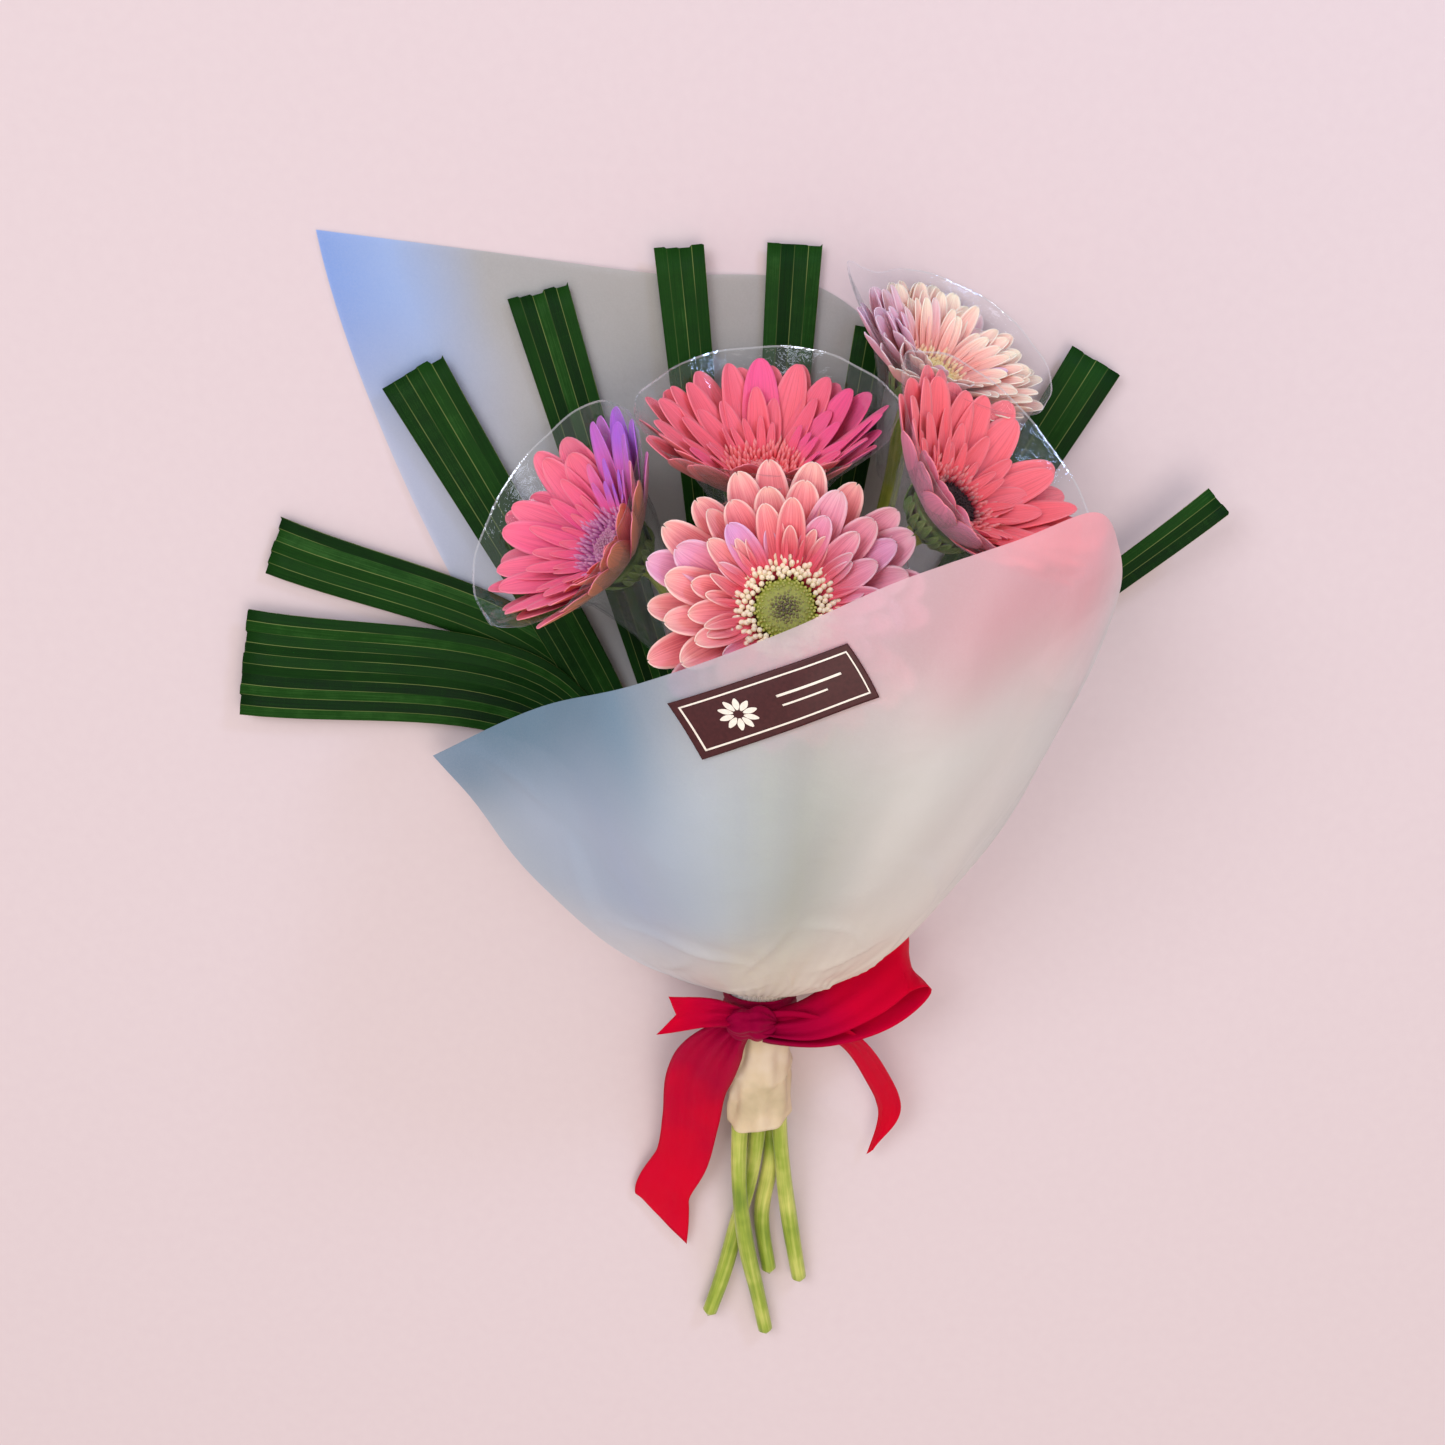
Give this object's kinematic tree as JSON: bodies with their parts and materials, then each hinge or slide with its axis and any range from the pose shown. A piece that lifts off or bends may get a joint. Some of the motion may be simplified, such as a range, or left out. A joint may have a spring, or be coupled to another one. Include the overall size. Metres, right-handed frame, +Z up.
{
  "type": "bunch of gerberas",
  "caption": "Tied bunch of gerbera flowers in clear sleeves with pleated palm leaves, frosted wrapping film and a crimson satin bow, lying on its back.",
  "frame": {"origin": "middle of the bounding box, on the surface that the bunch lies on", "axes": "+Z up, +Y from the cut stems towards the flowers, +X to the right of the front"},
  "size_m": [0.3898, 0.4766, 0.1503],
  "materials": {
    "petal_pale_pink": "living petal, rose at the base fading to cream at the tip",
    "petal_coral": "living petal, coral pink with fine lengthwise veins",
    "petal_peach": "living petal, pale peach",
    "petal_magenta": "living petal, magenta pink turning lilac",
    "disc_green": "yellow-green buds with a speckled middle",
    "disc_coral": "coral florets",
    "disc_dark": "maroon-black buds",
    "disc_yellow": "yellow florets",
    "disc_lilac": "lilac florets",
    "calyx": "green bracts, slightly downy",
    "stem": "green, satin, slightly downy",
    "palm_leaf": "dark green, pleated lengthwise, low sheen",
    "frosted_film": "frosted translucent florist's film",
    "clear_film": "clear glossy film",
    "cream_film": "creased cream film",
    "binding_tape": "plain tape",
    "label_paper": "dark maroon coated paper with a plain cream flower motif",
    "ribbon_satin": "crimson satin, fine cross rib, soft sheen"
  },
  "bodies": {
    "root": {"front_calyx": "calyx", "front_outer_petals": "petal_pale_pink", "front_inner_petals": "petal_pale_pink", "front_disc": "disc_green", "front_stem": "stem", "front_sleeve": "clear_film", "top_calyx": "calyx", "top_outer_petals": "petal_coral", "top_inner_petals": "petal_coral", "top_disc": "disc_coral", "top_stem": "stem", "top_sleeve": "clear_film", "right_calyx": "calyx", "right_outer_petals": "petal_coral", "right_inner_petals": "petal_coral", "right_disc": "disc_dark", "right_stem": "stem", "right_sleeve": "clear_film", "back_calyx": "calyx", "back_outer_petals": "petal_peach", "back_inner_petals": "petal_peach", "back_disc": "disc_yellow", "back_stem": "stem", "back_sleeve": "clear_film", "left_calyx": "calyx", "left_outer_petals": "petal_magenta", "left_inner_petals": "petal_magenta", "left_disc": "disc_lilac", "left_stem": "stem", "left_sleeve": "clear_film", "palm_leaf_1": "palm_leaf", "palm_leaf_2": "palm_leaf", "palm_leaf_3": "palm_leaf", "palm_leaf_4": "palm_leaf", "palm_leaf_5": "palm_leaf", "palm_leaf_6": "palm_leaf", "palm_leaf_7": "palm_leaf", "palm_leaf_8": "palm_leaf", "palm_leaf_9": "palm_leaf", "wrap_sheet": "frosted_film", "front_label": "label_paper", "film_collar": "cream_film", "stem_binding": "binding_tape", "ribbon_bow": "ribbon_satin"}
  },
  "joints": []
}
